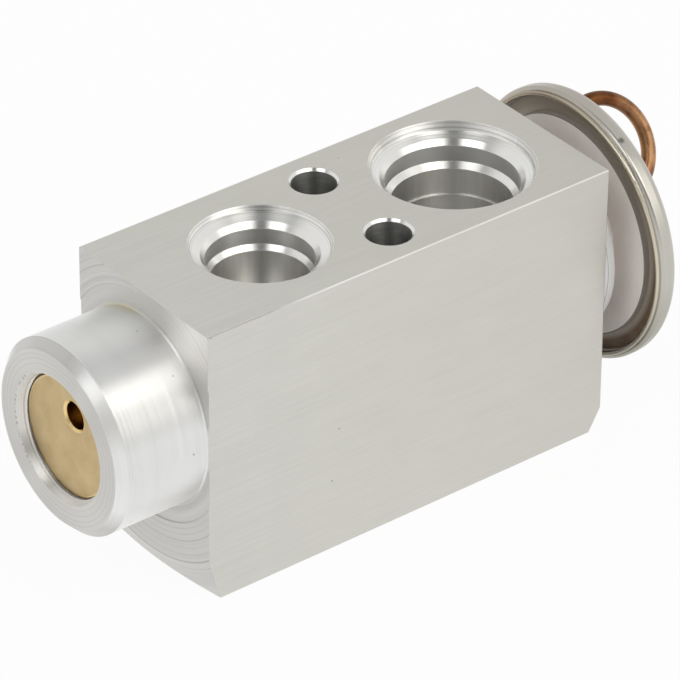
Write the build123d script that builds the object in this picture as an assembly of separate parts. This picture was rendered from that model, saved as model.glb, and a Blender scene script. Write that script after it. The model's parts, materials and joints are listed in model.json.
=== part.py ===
"""Block-type thermostatic expansion valve.

The block stands on its bottom face. X runs along the valve, from the adjusting end (-X)
to the diaphragm head (+X), Y runs through the block's thickness and Z points up, towards
the face with the two stepped ports. The origin is on the bottom face, at mid length and
mid thickness. Everything turned shares one line along X, the valve axis.
"""
from build123d import *
from math import cos, hypot, pi, radians, sin, sqrt
import os

# ---- driving dimensions, in millimetres -------------------------------------------------
# block
BLOCK_LENGTH = 71.7
BLOCK_WIDTH = 29.7
BLOCK_HEIGHT = 44.4
AXIS_HEIGHT = 25.9
BLOCK_EDGE_CHAMFER = 0.15      # broken edges of the bar and of the spigot
EDGE_CHAMFER = 0.3             # small broken edges of the turned pieces
LEFT_FACE_RADIUS = 23.8        # flat of the turned left end; a shallow cone lies outside it
LEFT_CONE_SLOPE = 0.35         # axial fall for each millimetre of radius
RIGHT_FACE_RADIUS = 26.7
RIGHT_CONE_SLOPE = 0.70
FACE_STEP_RADIUS = 17.8        # shallow ring that the facing cut leaves round the boss
FACE_STEP_DEPTH = 0.15

# bolt holes
BOLT_X = 0.75
BOLT_SPACING = 17.05
BOLT_RADIUS = 3.3
BOLT_CHAMFER = 0.4

# ports: (radius, depth below the face), from the mouth inwards
SUCTION_X = 19.26
SUCTION_STEPS = [(12.2, 0), (11.55, 1.35), (11.2, 1.6), (10.5, 2.05), (9.8, 2.85), (9.8, 5.4), (8.85, 6.15)]
SUCTION_TOOL_DEPTH = 10.4      # the form tool stops here and the through drill goes on
SUCTION_DRILL_RADIUS = 8.6
LIQUID_X = -15.4
LIQUID_STEPS = [(10.3, 0), (9.85, 0.75), (9.3, 1.1), (8.5, 1.6), (7.8, 2.45), (7.8, 4.9), (7.15, 5.7)]
LIQUID_TOOL_DEPTH = 11.6       # both liquid ports end here, and a smaller drilling goes on
INLET_DRILL_RADIUS = 4.5       # straight down from the inlet port to the ball's chamber
OUTLET_X = -12.5
OUTLET_DRILL_RADIUS = 2.4      # slanted drilling from the outlet port to the outlet chamber
OUTLET_DRILL_FOOT_X = -16.5
OUTLET_DRILL_TOP_X = -1.0

# boss and the bores that open through it, as distances along X
BOSS_RADIUS = 14.8
BOSS_END = -50.7
BOSS_CHAMFER = 1.4
BOSS_ROOT_FILLET = 0.4
MOUTH_RADIUS = 9.92
MOUTH_DEPTH = 0.93
SCREW_BORE_RADIUS = 9.5
SCREW_BORE_END = -42.5
SEAL_BORE_RADIUS = 8.6
SEAL_BORE_END = -34.0
CHAMBER_RADIUS = 8.0
CHAMBER_END = -23.6
BALL_CHAMBER_RADIUS = 5.0
SEAT_RADIUS = 3.6
SEAT_START = -10.0
SEAT_END = -7.0
OUTLET_CHAMBER_RADIUS = 3.4
OUTLET_CHAMBER_END = 0.5
ROD_RADIUS = 1.5
ROD_GUIDE_RADIUS = 1.55
SEAL_POCKET_RADIUS = 3.2
SEAL_POCKET_START = 6.5

# adjusting screw
SCREW_FACE = -49.1
SCREW_FACE_RADIUS = 9.07
SCREW_THREAD_START = -47.85    # the plain face end stops here and the full thread begins
SCREW_CHAMFER = 0.4
SCREW_THREAD_END = -44.0
SCREW_END = -36.5
SCREW_CUP_DEPTH = 1.6
SCREW_GROOVE_START = -41.0
SCREW_GROOVE_END = -38.9
SCREW_GROOVE_RADIUS = 6.9
KEY_HOLE_RADIUS = 2.05
KEY_HOLE_SINK = 0.35
KEY_HOLE_DEPTH = 3.5
KEY_HOLE_Y = -1.67
KEY_HOLE_Z = 4.16
RUNNING_GAP = 0.06

# superheat spring, ball and its carrier
SPRING_RADIUS = 6.0
SPRING_WIRE_RADIUS = 0.75
SPRING_TURNS = 4
BALL_RADIUS = 2.2
ORIFICE_RADIUS = 1.7
SEATED_GAP = 0.04
CARRIER_FLANGE_RADIUS = 7.2
CARRIER_FLANGE_START = -26.1
CARRIER_FLANGE_END = -24.6
CARRIER_NOSE_RADIUS = 3.1
CARRIER_NOSE_END = -12.6
CARRIER_SPIGOT_RADIUS = 4.9
CARRIER_SPIGOT_START = -29.1
DAMPER_THICKNESS = 0.35
DAMPER_LEGS = 6
DAMPER_LEG_WIDTH = 2.6
DAMPER_LEG_LENGTH = 5.0

# push rod and its seal
ROD_TIP_RADIUS = 1.0
ROD_SHOULDER = -5.4
ROD_END = 41.2
ROD_SEAL_SECTION = 0.79
SEAL_WASHER_THICKNESS = 0.6
RETAINER_THICKNESS = 0.5
RETAINER_TEETH = 6

# diaphragm head: distances along X are measured from the block's right face
SPIGOT_RADIUS = 14.7
SPIGOT_LENGTH = 2.15
SPIGOT_GROOVE_AT = 0.74
SPIGOT_GROOVE_WIDTH = 0.15
SPIGOT_GROOVE_DEPTH = 0.12
SEAL_RECESS_RADIUS = 11.2      # recess in the spigot's end that holds the head's seal
SEAL_RECESS_DEPTH = 1.3
HEAD_BORE_RADIUS = 9.0
HEAD_BORE_DEPTH = 4.8
COLLAR_RADIUS = 10.4           # shoulder of the neck that squeezes the seal
COLLAR_START = 2.35
HEAD_PASSAGE_RADIUS = 6.6
NECK_BORE_RADIUS = 5.8
PAD_BORE_RADIUS = 7.2
PAD_BORE_START = 5.1
FLANGE_RADIUS = 17.2
FLANGE_START = 5.55
FLANGE_THICKNESS = 0.9
SHEET = 0.95
DIAPHRAGM_SHEET = 0.25
CORRUGATIONS = 3
HEM_SHEET = 0.62
RIM_RADIUS = 21.14
LIP_START = 5.1                # front edge of the lower shell's lip
HEM_START = 5.6                # front edge of the cover's skirt, rolled round the lip
COVER_SHOULDER = 1.4
COVER_FLAT_RADIUS = 16.5
COVER_TOP_RADIUS = 6.0
COVER_RISE = 3.1
PAD_RADIUS = 6.8
PAD_THICKNESS = 1.2
PAD_BOSS_RADIUS = 3.0
PAD_BOSS_LENGTH = 3.3

# charge tube
TUBE_RADIUS = 1.12
TUBE_BORE_RADIUS = 0.55
TUBE_STRAIGHT = 4.25
TUBE_BEND_RADIUS = 7.82
TUBE_BEND_TURN = 205           # degrees of the loop
TUBE_LEAN = 31.9               # tilt of the loop's plane from upright, in degrees
PINCH_LENGTH = 3.0
PINCH_WIDTH = 2.9
PINCH_THICKNESS = 0.9
FERRULE_RADIUS = 2.6
FERRULE_LENGTH = 2.2

# ---- derived places ---------------------------------------------------------------------
LEFT_FACE = -BLOCK_LENGTH / 2
RIGHT_FACE = BLOCK_LENGTH / 2
BALL_CENTRE = SEAT_START - sqrt(BALL_RADIUS**2 - ORIFICE_RADIUS**2) - SEATED_GAP
FLANGE_BACK = RIGHT_FACE + FLANGE_START + FLANGE_THICKNESS
DIAPHRAGM_FRONT = FLANGE_BACK + SHEET
DIAPHRAGM_BACK = DIAPHRAGM_FRONT + DIAPHRAGM_SHEET
COVER_FLANGE_BACK = DIAPHRAGM_BACK + SHEET
COVER_TOP = COVER_FLANGE_BACK + COVER_RISE
SPIGOT_END = RIGHT_FACE + SPIGOT_LENGTH
AXIS_PLACE = Pos(0, 0, AXIS_HEIGHT)


# ---- helpers ----------------------------------------------------------------------------
def turned(points):
    """A solid of revolution about the valve axis from (x, radius) corners."""
    profile = make_face(Polyline(*points, close=True))
    return AXIS_PLACE * revolve(profile, Axis.X, 360)


def drilled(start, end, radius):
    """A plain cylinder on the valve axis between two places along X."""
    return turned([(start, 0), (start, radius), (end, radius), (end, 0)])


def ring(centre, radius, section):
    """A ring of round section about the valve axis."""
    return AXIS_PLACE * revolve(Pos(centre, radius) * Circle(section), Axis.X, 360)


def port_cutter(steps, bore_depth):
    """What a stepped port removes, pointing down from the origin: (radius, depth) corners."""
    corners = [(0, 0)] + [(radius, -depth) for radius, depth in steps]
    corners += [(steps[-1][0], -bore_depth), (0, -bore_depth)]
    return revolve(make_face(Plane.XZ * Polyline(*corners, close=True)), Axis.Z, 360)


def around_axis(shape, count):
    """Copies of a shape spread evenly about the valve axis, which must be the X axis."""
    return [Rot(360 * i / count, 0, 0) * shape for i in range(count)]


# ---- block ------------------------------------------------------------------------------
def turned_bar():
    """The sawn bar after the lathe: boss, flat left face, shallow cones, right face, spigot."""
    length = SPIGOT_END - BOSS_END
    bar = Pos(BOSS_END + length / 2, 0, BLOCK_HEIGHT / 2) * Box(length, BLOCK_WIDTH, BLOCK_HEIGHT)
    bar = chamfer(bar.edges().filter_by(Axis.X), BLOCK_EDGE_CHAMFER)
    root = LEFT_FACE + FACE_STEP_DEPTH
    reach = hypot(BLOCK_WIDTH, BLOCK_HEIGHT)
    left_fall = (reach - LEFT_FACE_RADIUS) * LEFT_CONE_SLOPE
    right_fall = (reach - RIGHT_FACE_RADIUS) * RIGHT_CONE_SLOPE
    groove = RIGHT_FACE + SPIGOT_GROOVE_AT
    return bar & turned([
        (BOSS_END, 0),
        (BOSS_END, BOSS_RADIUS - BOSS_CHAMFER),
        (BOSS_END + BOSS_CHAMFER, BOSS_RADIUS),
        (root - BOSS_ROOT_FILLET, BOSS_RADIUS),
        (root, BOSS_RADIUS + BOSS_ROOT_FILLET),
        (root, FACE_STEP_RADIUS - FACE_STEP_DEPTH),
        (LEFT_FACE, FACE_STEP_RADIUS),
        (LEFT_FACE, LEFT_FACE_RADIUS),
        (LEFT_FACE + left_fall, reach),
        (RIGHT_FACE - right_fall, reach),
        (RIGHT_FACE, RIGHT_FACE_RADIUS),
        (RIGHT_FACE, SPIGOT_RADIUS),
        (groove, SPIGOT_RADIUS),
        (groove, SPIGOT_RADIUS - SPIGOT_GROOVE_DEPTH),
        (groove + SPIGOT_GROOVE_WIDTH, SPIGOT_RADIUS - SPIGOT_GROOVE_DEPTH),
        (groove + SPIGOT_GROOVE_WIDTH, SPIGOT_RADIUS),
        (SPIGOT_END - BLOCK_EDGE_CHAMFER, SPIGOT_RADIUS),
        (SPIGOT_END, SPIGOT_RADIUS - BLOCK_EDGE_CHAMFER),
        (SPIGOT_END, 0),
    ])


def axial_bores():
    """The stepped bore from the boss to the rod seal, and the bore for the head."""
    stepped = turned([
        (BOSS_END, 0),
        (BOSS_END, MOUTH_RADIUS),
        (BOSS_END + MOUTH_DEPTH, SCREW_BORE_RADIUS),
        (SCREW_BORE_END, SCREW_BORE_RADIUS),
        (SCREW_BORE_END, SEAL_BORE_RADIUS),
        (SEAL_BORE_END, SEAL_BORE_RADIUS),
        (SEAL_BORE_END, CHAMBER_RADIUS),
        (CHAMBER_END, CHAMBER_RADIUS),
        (CHAMBER_END, BALL_CHAMBER_RADIUS),
        (SEAT_START, BALL_CHAMBER_RADIUS),
        (SEAT_START, SEAT_RADIUS),
        (SEAT_END, SEAT_RADIUS),
        (SEAT_END, OUTLET_CHAMBER_RADIUS),
        (OUTLET_CHAMBER_END, OUTLET_CHAMBER_RADIUS),
        (OUTLET_CHAMBER_END, ROD_GUIDE_RADIUS),
        (SEAL_POCKET_START, ROD_GUIDE_RADIUS),
        (SEAL_POCKET_START, SEAL_POCKET_RADIUS),
        (SUCTION_X - SUCTION_DRILL_RADIUS + 1, SEAL_POCKET_RADIUS),
        (SUCTION_X - SUCTION_DRILL_RADIUS + 1, 0),
    ])
    passage = drilled(SUCTION_X, RIGHT_FACE, HEAD_PASSAGE_RADIUS)
    head_bore = drilled(RIGHT_FACE - HEAD_BORE_DEPTH, SPIGOT_END, HEAD_BORE_RADIUS)
    seal_recess = drilled(SPIGOT_END - SEAL_RECESS_DEPTH, SPIGOT_END, SEAL_RECESS_RADIUS)
    return [stepped, passage, head_bore, seal_recess]


def ports():
    """Liquid inlet and suction outlet on top; outlet and suction inlet on the bottom."""
    top = Pos(0, 0, BLOCK_HEIGHT)
    turn_over = Rot(180, 0, 0)
    suction = port_cutter(SUCTION_STEPS, SUCTION_TOOL_DEPTH)
    liquid = port_cutter(LIQUID_STEPS, LIQUID_TOOL_DEPTH)
    through = Pos(SUCTION_X, 0, BLOCK_HEIGHT / 2) * Cylinder(SUCTION_DRILL_RADIUS, BLOCK_HEIGHT)
    foot = Vector(OUTLET_DRILL_FOOT_X, 0, 0)
    run = Vector(OUTLET_DRILL_TOP_X, 0, AXIS_HEIGHT) - foot
    slant = extrude(Plane(foot, z_dir=run) * Circle(OUTLET_DRILL_RADIUS), run.length)
    inlet_run = BLOCK_HEIGHT - LIQUID_TOOL_DEPTH - AXIS_HEIGHT
    inlet_drill = Pos(LIQUID_X, 0, AXIS_HEIGHT + inlet_run / 2) * Cylinder(INLET_DRILL_RADIUS, inlet_run)
    return [
        top * Pos(SUCTION_X, 0, 0) * suction,
        Pos(SUCTION_X, 0, 0) * turn_over * suction,
        through,
        top * Pos(LIQUID_X, 0, 0) * liquid,
        inlet_drill,
        Pos(OUTLET_X, 0, 0) * turn_over * liquid,
        slant,
    ]


def bolt_holes():
    """Two plain through holes side by side, with chamfered mouths on both faces."""
    wide = BOLT_RADIUS + BOLT_CHAMFER
    hole = revolve(make_face(Plane.XZ * Polyline(
        (0, 0), (wide, 0), (BOLT_RADIUS, BOLT_CHAMFER),
        (BOLT_RADIUS, BLOCK_HEIGHT - BOLT_CHAMFER), (wide, BLOCK_HEIGHT), (0, BLOCK_HEIGHT),
        close=True)), Axis.Z, 360)
    return [Pos(BOLT_X, side * BOLT_SPACING / 2, 0) * hole for side in (-1, 1)]


def valve_body():
    body = turned_bar()
    for cutter in axial_bores() + ports() + bolt_holes():
        body -= cutter
    return body


# ---- adjusting end ----------------------------------------------------------------------
def adjusting_screw():
    """Brass plug: plain face end, threaded rim, seal groove, spring cup, one key hole."""
    thread_radius = SCREW_BORE_RADIUS - RUNNING_GAP
    shank_radius = SEAL_BORE_RADIUS - RUNNING_GAP
    cup_floor = SCREW_END - SCREW_CUP_DEPTH
    cup_radius = SPRING_RADIUS + SPRING_WIRE_RADIUS + 0.3
    plug = turned([
        (SCREW_FACE, 0),
        (SCREW_FACE, SCREW_FACE_RADIUS),
        (SCREW_THREAD_START, SCREW_FACE_RADIUS),
        (SCREW_THREAD_START, thread_radius),
        (SCREW_THREAD_END, thread_radius),
        (SCREW_THREAD_END, shank_radius),
        (SCREW_GROOVE_START, shank_radius),
        (SCREW_GROOVE_START, SCREW_GROOVE_RADIUS),
        (SCREW_GROOVE_END, SCREW_GROOVE_RADIUS),
        (SCREW_GROOVE_END, shank_radius),
        (SCREW_END - SCREW_CHAMFER, shank_radius),
        (SCREW_END, shank_radius - SCREW_CHAMFER),
        (SCREW_END, cup_radius),
        (cup_floor, cup_radius),
        (cup_floor, 0),
    ])
    key_hole = revolve(make_face(Polyline(
        (SCREW_FACE, 0),
        (SCREW_FACE, KEY_HOLE_RADIUS + KEY_HOLE_SINK),
        (SCREW_FACE + KEY_HOLE_SINK, KEY_HOLE_RADIUS),
        (SCREW_FACE + KEY_HOLE_DEPTH, KEY_HOLE_RADIUS),
        (SCREW_FACE + KEY_HOLE_DEPTH + KEY_HOLE_RADIUS / 2, 0),
        close=True)), Axis.X, 360)
    return plug - AXIS_PLACE * Pos(0, KEY_HOLE_Y, KEY_HOLE_Z) * key_hole


def adjusting_screw_seal():
    inner = SCREW_GROOVE_RADIUS + RUNNING_GAP
    outer = SEAL_BORE_RADIUS - RUNNING_GAP
    return ring((SCREW_GROOVE_START + SCREW_GROOVE_END) / 2, (inner + outer) / 2, (outer - inner) / 2)


def superheat_spring():
    """Round-wire compression spring between the plug's cup and the damper's ring."""
    start = SCREW_END - SCREW_CUP_DEPTH + SPRING_WIRE_RADIUS
    end = CARRIER_FLANGE_START - DAMPER_THICKNESS - SPRING_WIRE_RADIUS
    length = end - start
    coil = Helix(length / SPRING_TURNS, length, SPRING_RADIUS)
    wire = sweep(Plane(coil @ 0, z_dir=coil % 0) * Circle(SPRING_WIRE_RADIUS), path=coil, is_frenet=True)
    return AXIS_PLACE * Pos(start, 0, 0) * Rot(0, 90, 0) * wire


# ---- metering parts ---------------------------------------------------------------------
def ball_carrier():
    """Stepped cup that the spring pushes: a spigot inside the coil and a coned nose."""
    cone_depth = CARRIER_NOSE_END - (BALL_CENTRE - BALL_RADIUS * sqrt(2)) + SEATED_GAP
    return turned([
        (CARRIER_SPIGOT_START, 0),
        (CARRIER_SPIGOT_START, CARRIER_SPIGOT_RADIUS - SCREW_CHAMFER),
        (CARRIER_SPIGOT_START + SCREW_CHAMFER, CARRIER_SPIGOT_RADIUS),
        (CARRIER_FLANGE_START, CARRIER_SPIGOT_RADIUS),
        (CARRIER_FLANGE_START, CARRIER_FLANGE_RADIUS),
        (CARRIER_FLANGE_END, CARRIER_FLANGE_RADIUS),
        (CARRIER_FLANGE_END, CARRIER_NOSE_RADIUS),
        (CARRIER_NOSE_END, CARRIER_NOSE_RADIUS),
        (CARRIER_NOSE_END, cone_depth),
        (CARRIER_NOSE_END - cone_depth, 0),
    ])


def damper_spring():
    """Thin ring on the carrier's flange with legs that rub along the chamber wall."""
    leg_radius = CHAMBER_RADIUS - RUNNING_GAP
    start = CARRIER_FLANGE_START - DAMPER_THICKNESS
    washer = turned([
        (start, CARRIER_SPIGOT_RADIUS + RUNNING_GAP),
        (start, leg_radius),
        (CARRIER_FLANGE_START, leg_radius),
        (CARRIER_FLANGE_START, CARRIER_SPIGOT_RADIUS + RUNNING_GAP),
    ])
    sleeve = turned([
        (start - DAMPER_LEG_LENGTH, leg_radius - DAMPER_THICKNESS),
        (start - DAMPER_LEG_LENGTH, leg_radius),
        (start, leg_radius),
        (start, leg_radius - DAMPER_THICKNESS),
    ])
    bar = Pos(start - DAMPER_LEG_LENGTH / 2, 0, CHAMBER_RADIUS)
    bar *= Box(DAMPER_LEG_LENGTH, DAMPER_LEG_WIDTH, CHAMBER_RADIUS)
    legs = [AXIS_PLACE * leg & sleeve for leg in around_axis(bar, DAMPER_LEGS)]
    return washer + legs


def valve_ball():
    return AXIS_PLACE * Pos(BALL_CENTRE, 0, 0) * Sphere(BALL_RADIUS)


def orifice_seat():
    """Pressed-in insert: the ball closes its sharp left edge, its right side flares."""
    flare = SEAT_RADIUS - 0.8
    return turned([
        (SEAT_START, ORIFICE_RADIUS),
        (SEAT_START, SEAT_RADIUS - 0.2),
        (SEAT_START + 0.2, SEAT_RADIUS),
        (SEAT_END, SEAT_RADIUS),
        (SEAT_END, flare),
        (SEAT_END - (flare - ORIFICE_RADIUS), ORIFICE_RADIUS),
    ])


def push_rod():
    tip = BALL_CENTRE + BALL_RADIUS + SEATED_GAP / 2
    return turned([
        (tip, 0),
        (tip, ROD_TIP_RADIUS),
        (ROD_SHOULDER - 0.5, ROD_TIP_RADIUS),
        (ROD_SHOULDER, ROD_RADIUS),
        (ROD_END - EDGE_CHAMFER, ROD_RADIUS),
        (ROD_END, ROD_RADIUS - EDGE_CHAMFER),
        (ROD_END, 0),
    ])


def rod_seal():
    outer = SEAL_POCKET_RADIUS - RUNNING_GAP
    return ring(SEAL_POCKET_START + ROD_SEAL_SECTION + 0.02, outer - ROD_SEAL_SECTION, ROD_SEAL_SECTION)


def rod_seal_washer():
    start = SEAL_POCKET_START + 2 * ROD_SEAL_SECTION + 0.04
    end = start + SEAL_WASHER_THICKNESS
    inner = ROD_RADIUS + 0.15
    outer = SEAL_POCKET_RADIUS - 0.02
    return turned([(start, inner), (start, outer), (end, outer), (end, inner)])


def rod_seal_retainer():
    """Star ring that is pushed in behind the washer and bites into the pocket."""
    start = SEAL_POCKET_START + 2 * ROD_SEAL_SECTION + SEAL_WASHER_THICKNESS + 0.06
    end = start + RETAINER_THICKNESS
    inner = ROD_RADIUS + 0.4
    disc = turned([(start, inner), (start, SEAL_POCKET_RADIUS), (end, SEAL_POCKET_RADIUS), (end, inner)])
    notch = Pos((start + end) / 2, 0, SEAL_POCKET_RADIUS) * Box(2 * RETAINER_THICKNESS, 0.7, 1.2)
    for cut in around_axis(notch, RETAINER_TEETH):
        disc -= AXIS_PLACE * cut
    return disc


# ---- diaphragm head ---------------------------------------------------------------------
def head_seal():
    """Rubber ring in the spigot's recess, squeezed by the neck's collar."""
    start = SPIGOT_END - SEAL_RECESS_DEPTH + SEATED_GAP / 2
    end = RIGHT_FACE + COLLAR_START - SEATED_GAP / 2
    inner = HEAD_BORE_RADIUS + 0.1
    outer = SEAL_RECESS_RADIUS - 0.1
    round_off = (end - start) / 3
    return turned([
        (start, inner),
        (start, outer - round_off),
        (start + round_off, outer),
        (end - round_off, outer),
        (end, outer - round_off),
        (end, inner),
    ])


def head_neck():
    """Threaded neck, the collar on its seal and the thin flange that carries the shells."""
    start = RIGHT_FACE - HEAD_BORE_DEPTH + 0.4
    outer = HEAD_BORE_RADIUS - SEATED_GAP / 2
    collar = RIGHT_FACE + COLLAR_START
    flange = RIGHT_FACE + FLANGE_START
    return turned([
        (start, NECK_BORE_RADIUS),
        (start, outer - SCREW_CHAMFER),
        (start + SCREW_CHAMFER, outer),
        (collar, outer),
        (collar, COLLAR_RADIUS),
        (flange, COLLAR_RADIUS),
        (flange, FLANGE_RADIUS),
        (FLANGE_BACK, FLANGE_RADIUS),
        (FLANGE_BACK, PAD_BORE_RADIUS),
        (RIGHT_FACE + PAD_BORE_START, PAD_BORE_RADIUS),
        (RIGHT_FACE + PAD_BORE_START, NECK_BORE_RADIUS),
    ])


def head_lower_shell():
    """Flat stamping behind the flange, its round-edged lip turned forward inside the rim."""
    lip_outer = RIM_RADIUS - HEM_SHEET
    lip_inner = lip_outer - HEM_SHEET
    tip = RIGHT_FACE + LIP_START
    lip_round = tip + HEM_SHEET / 2
    inner_bend = 0.3
    hole = PAD_BORE_RADIUS + 0.4
    outline = [
        Line((DIAPHRAGM_FRONT, lip_outer), (DIAPHRAGM_FRONT, hole)),
        Line((DIAPHRAGM_FRONT, hole), (FLANGE_BACK, hole)),
        Line((FLANGE_BACK, hole), (FLANGE_BACK, lip_inner - inner_bend)),
        Line((FLANGE_BACK, lip_inner - inner_bend), (FLANGE_BACK - inner_bend, lip_inner)),
        Line((FLANGE_BACK - inner_bend, lip_inner), (lip_round, lip_inner)),
        ThreePointArc((lip_round, lip_inner), (tip, (lip_inner + lip_outer) / 2), (lip_round, lip_outer)),
        Line((lip_round, lip_outer), (DIAPHRAGM_FRONT, lip_outer)),
    ]
    return AXIS_PLACE * revolve(make_face(outline), Axis.X, 360)


def head_upper_shell():
    """Domed cover with a round shoulder, its skirt's edge rolled in against the lip."""
    lip_outer = RIM_RADIUS - HEM_SHEET
    skirt = RIGHT_FACE + HEM_START
    skirt_round = skirt + HEM_SHEET
    shoulder = COVER_FLANGE_BACK - COVER_SHOULDER
    bow = cos(pi / 4)
    tube_hole = TUBE_RADIUS + 0.02
    dome = [
        (skirt, lip_outer),
        (DIAPHRAGM_BACK, lip_outer),
        (DIAPHRAGM_BACK, COVER_FLAT_RADIUS),
        (DIAPHRAGM_BACK + COVER_RISE, COVER_TOP_RADIUS),
        (DIAPHRAGM_BACK + COVER_RISE, tube_hole),
        (COVER_TOP, tube_hole),
        (COVER_TOP, COVER_TOP_RADIUS + SHEET / 3),
        (COVER_FLANGE_BACK, COVER_FLAT_RADIUS + SHEET / 2),
        (COVER_FLANGE_BACK, RIM_RADIUS - COVER_SHOULDER),
    ]
    outline = [Line(a, b) for a, b in zip(dome, dome[1:])]
    corner = (shoulder + COVER_SHOULDER * bow, RIM_RADIUS - COVER_SHOULDER * (1 - bow))
    roll = (skirt_round - HEM_SHEET * bow, lip_outer + HEM_SHEET * bow)
    outline += [
        ThreePointArc(dome[-1], corner, (shoulder, RIM_RADIUS)),
        Line((shoulder, RIM_RADIUS), (skirt_round, RIM_RADIUS)),
        ThreePointArc((skirt_round, RIM_RADIUS), roll, (skirt, lip_outer)),
    ]
    return AXIS_PLACE * revolve(make_face(outline), Axis.X, 360)


def diaphragm():
    """Thin disc clamped between the shells, with round corrugations outside the pad."""
    inner = PAD_RADIUS + 1.2
    pitch = (COVER_FLAT_RADIUS - 0.6 - inner) / CORRUGATIONS
    height = 0.35
    edge = RIM_RADIUS - HEM_SHEET - 0.02
    front = DIAPHRAGM_FRONT + 0.01
    back = DIAPHRAGM_BACK - 0.01
    near = []
    far = []
    for i in range(CORRUGATIONS):
        low = inner + i * pitch
        middle = low + pitch / 2
        high = low + pitch
        near.append(ThreePointArc((front, low), (front + height, middle), (front, high)))
        far.append(ThreePointArc((back, low), (back + height, middle), (back, high)))
    last = inner + CORRUGATIONS * pitch
    outline = [Line((front, 0), (front, inner))] + near + [Line((front, last), (front, edge))]
    outline += [Line((front, edge), (back, edge)), Line((back, edge), (back, last))]
    outline += far[::-1] + [Line((back, inner), (back, 0)), Line((back, 0), (front, 0))]
    return AXIS_PLACE * revolve(make_face(outline), Axis.X, 360)


def thrust_pad():
    """Disc under the diaphragm, with a socket that holds the push rod's end."""
    back = DIAPHRAGM_FRONT - SEATED_GAP
    front = back - PAD_THICKNESS
    start = front - PAD_BOSS_LENGTH
    socket = ROD_RADIUS + 0.02
    return turned([
        (start, socket),
        (start, PAD_BOSS_RADIUS),
        (front, PAD_BOSS_RADIUS),
        (front, PAD_RADIUS),
        (back - EDGE_CHAMFER, PAD_RADIUS),
        (back, PAD_RADIUS - EDGE_CHAMFER),
        (back, 0),
        (ROD_END + 0.01, 0),
        (ROD_END + 0.01, socket),
    ])


# ---- charge tube ------------------------------------------------------------------------
def tube_route():
    """Straight out of the cover, then round most of a circle in a leaning plane."""
    lean = radians(TUBE_LEAN)
    across = Vector(0, sin(lean), cos(lean))
    plane = Plane(origin=(DIAPHRAGM_BACK + COVER_RISE, 0, AXIS_HEIGHT), x_dir=(1, 0, 0),
                  z_dir=Vector(1, 0, 0).cross(across))
    straight = SHEET + TUBE_STRAIGHT
    leg = Line((0, 0), (straight, 0))
    loop = JernArc(start=(straight, 0), tangent=(1, 0), radius=TUBE_BEND_RADIUS, arc_size=TUBE_BEND_TURN)
    return plane * Wire([leg, loop])


def charge_tube():
    """Copper capillary with its free end pinched flat and closed."""
    route = tube_route()
    section = Plane(route @ 0, z_dir=route % 0)
    tube = sweep(section * Circle(TUBE_RADIUS), path=route)
    tube -= sweep(section * Circle(TUBE_BORE_RADIUS), path=route)
    tip = Plane(route @ 1, x_dir=(0, cos(radians(TUBE_LEAN)), -sin(radians(TUBE_LEAN))), z_dir=route % 1)
    flat = tip.offset(PINCH_LENGTH * 0.6) * RectangleRounded(PINCH_WIDTH, PINCH_THICKNESS, PINCH_THICKNESS * 0.45)
    round_end = tip * Circle(TUBE_RADIUS)
    pinch = loft([round_end, flat])
    pinch += extrude(flat, PINCH_LENGTH * 0.4)
    print("charge tube length", round(route.length, 2), "bend radius", TUBE_BEND_RADIUS)
    return tube + pinch


def tube_ferrule():
    """Brazed bush where the tube enters the cover."""
    hole = TUBE_RADIUS + 0.02
    end = COVER_TOP + FERRULE_LENGTH
    return turned([
        (COVER_TOP, hole),
        (COVER_TOP, FERRULE_RADIUS),
        (COVER_TOP + 0.5, FERRULE_RADIUS),
        (end, hole + 0.35),
        (end, hole),
    ])


PARTS = [
    valve_body, adjusting_screw, adjusting_screw_seal, superheat_spring, ball_carrier,
    damper_spring, valve_ball, orifice_seat, push_rod, rod_seal, rod_seal_washer,
    rod_seal_retainer, head_seal, head_neck, head_lower_shell, head_upper_shell, diaphragm,
    thrust_pad, charge_tube, tube_ferrule,
]

os.makedirs("parts", exist_ok=True)
for make in PARTS:
    export_step(make(), f"parts/{make.__name__}.step")
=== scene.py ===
"""Looks of the block-type thermostatic expansion valve.

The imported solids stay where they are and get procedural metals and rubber. One piece is added
by mesh code: the turn of fine thread in the boss mouth, which the solids leave plain.
Everything is in metres, in the frame of the solids: X along the valve axis, Z up.
"""
import json
from math import pi, radians
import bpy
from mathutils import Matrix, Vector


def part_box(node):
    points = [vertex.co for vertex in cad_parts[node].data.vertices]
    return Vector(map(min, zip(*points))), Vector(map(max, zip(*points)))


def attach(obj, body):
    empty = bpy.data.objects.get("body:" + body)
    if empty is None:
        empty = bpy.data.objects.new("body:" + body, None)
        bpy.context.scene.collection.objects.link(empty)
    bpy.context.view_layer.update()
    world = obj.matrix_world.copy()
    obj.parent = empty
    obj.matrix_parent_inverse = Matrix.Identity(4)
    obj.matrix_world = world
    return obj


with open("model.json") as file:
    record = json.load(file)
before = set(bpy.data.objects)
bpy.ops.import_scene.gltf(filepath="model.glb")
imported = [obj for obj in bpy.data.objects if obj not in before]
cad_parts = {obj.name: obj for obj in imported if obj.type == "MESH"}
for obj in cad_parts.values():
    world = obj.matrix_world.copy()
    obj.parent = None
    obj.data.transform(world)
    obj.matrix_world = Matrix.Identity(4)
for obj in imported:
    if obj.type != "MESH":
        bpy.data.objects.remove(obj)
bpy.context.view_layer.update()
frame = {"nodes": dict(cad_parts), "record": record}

from types import SimpleNamespace

import bpy
import numpy as np
from mathutils import Matrix, Vector

MM = 0.001

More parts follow.
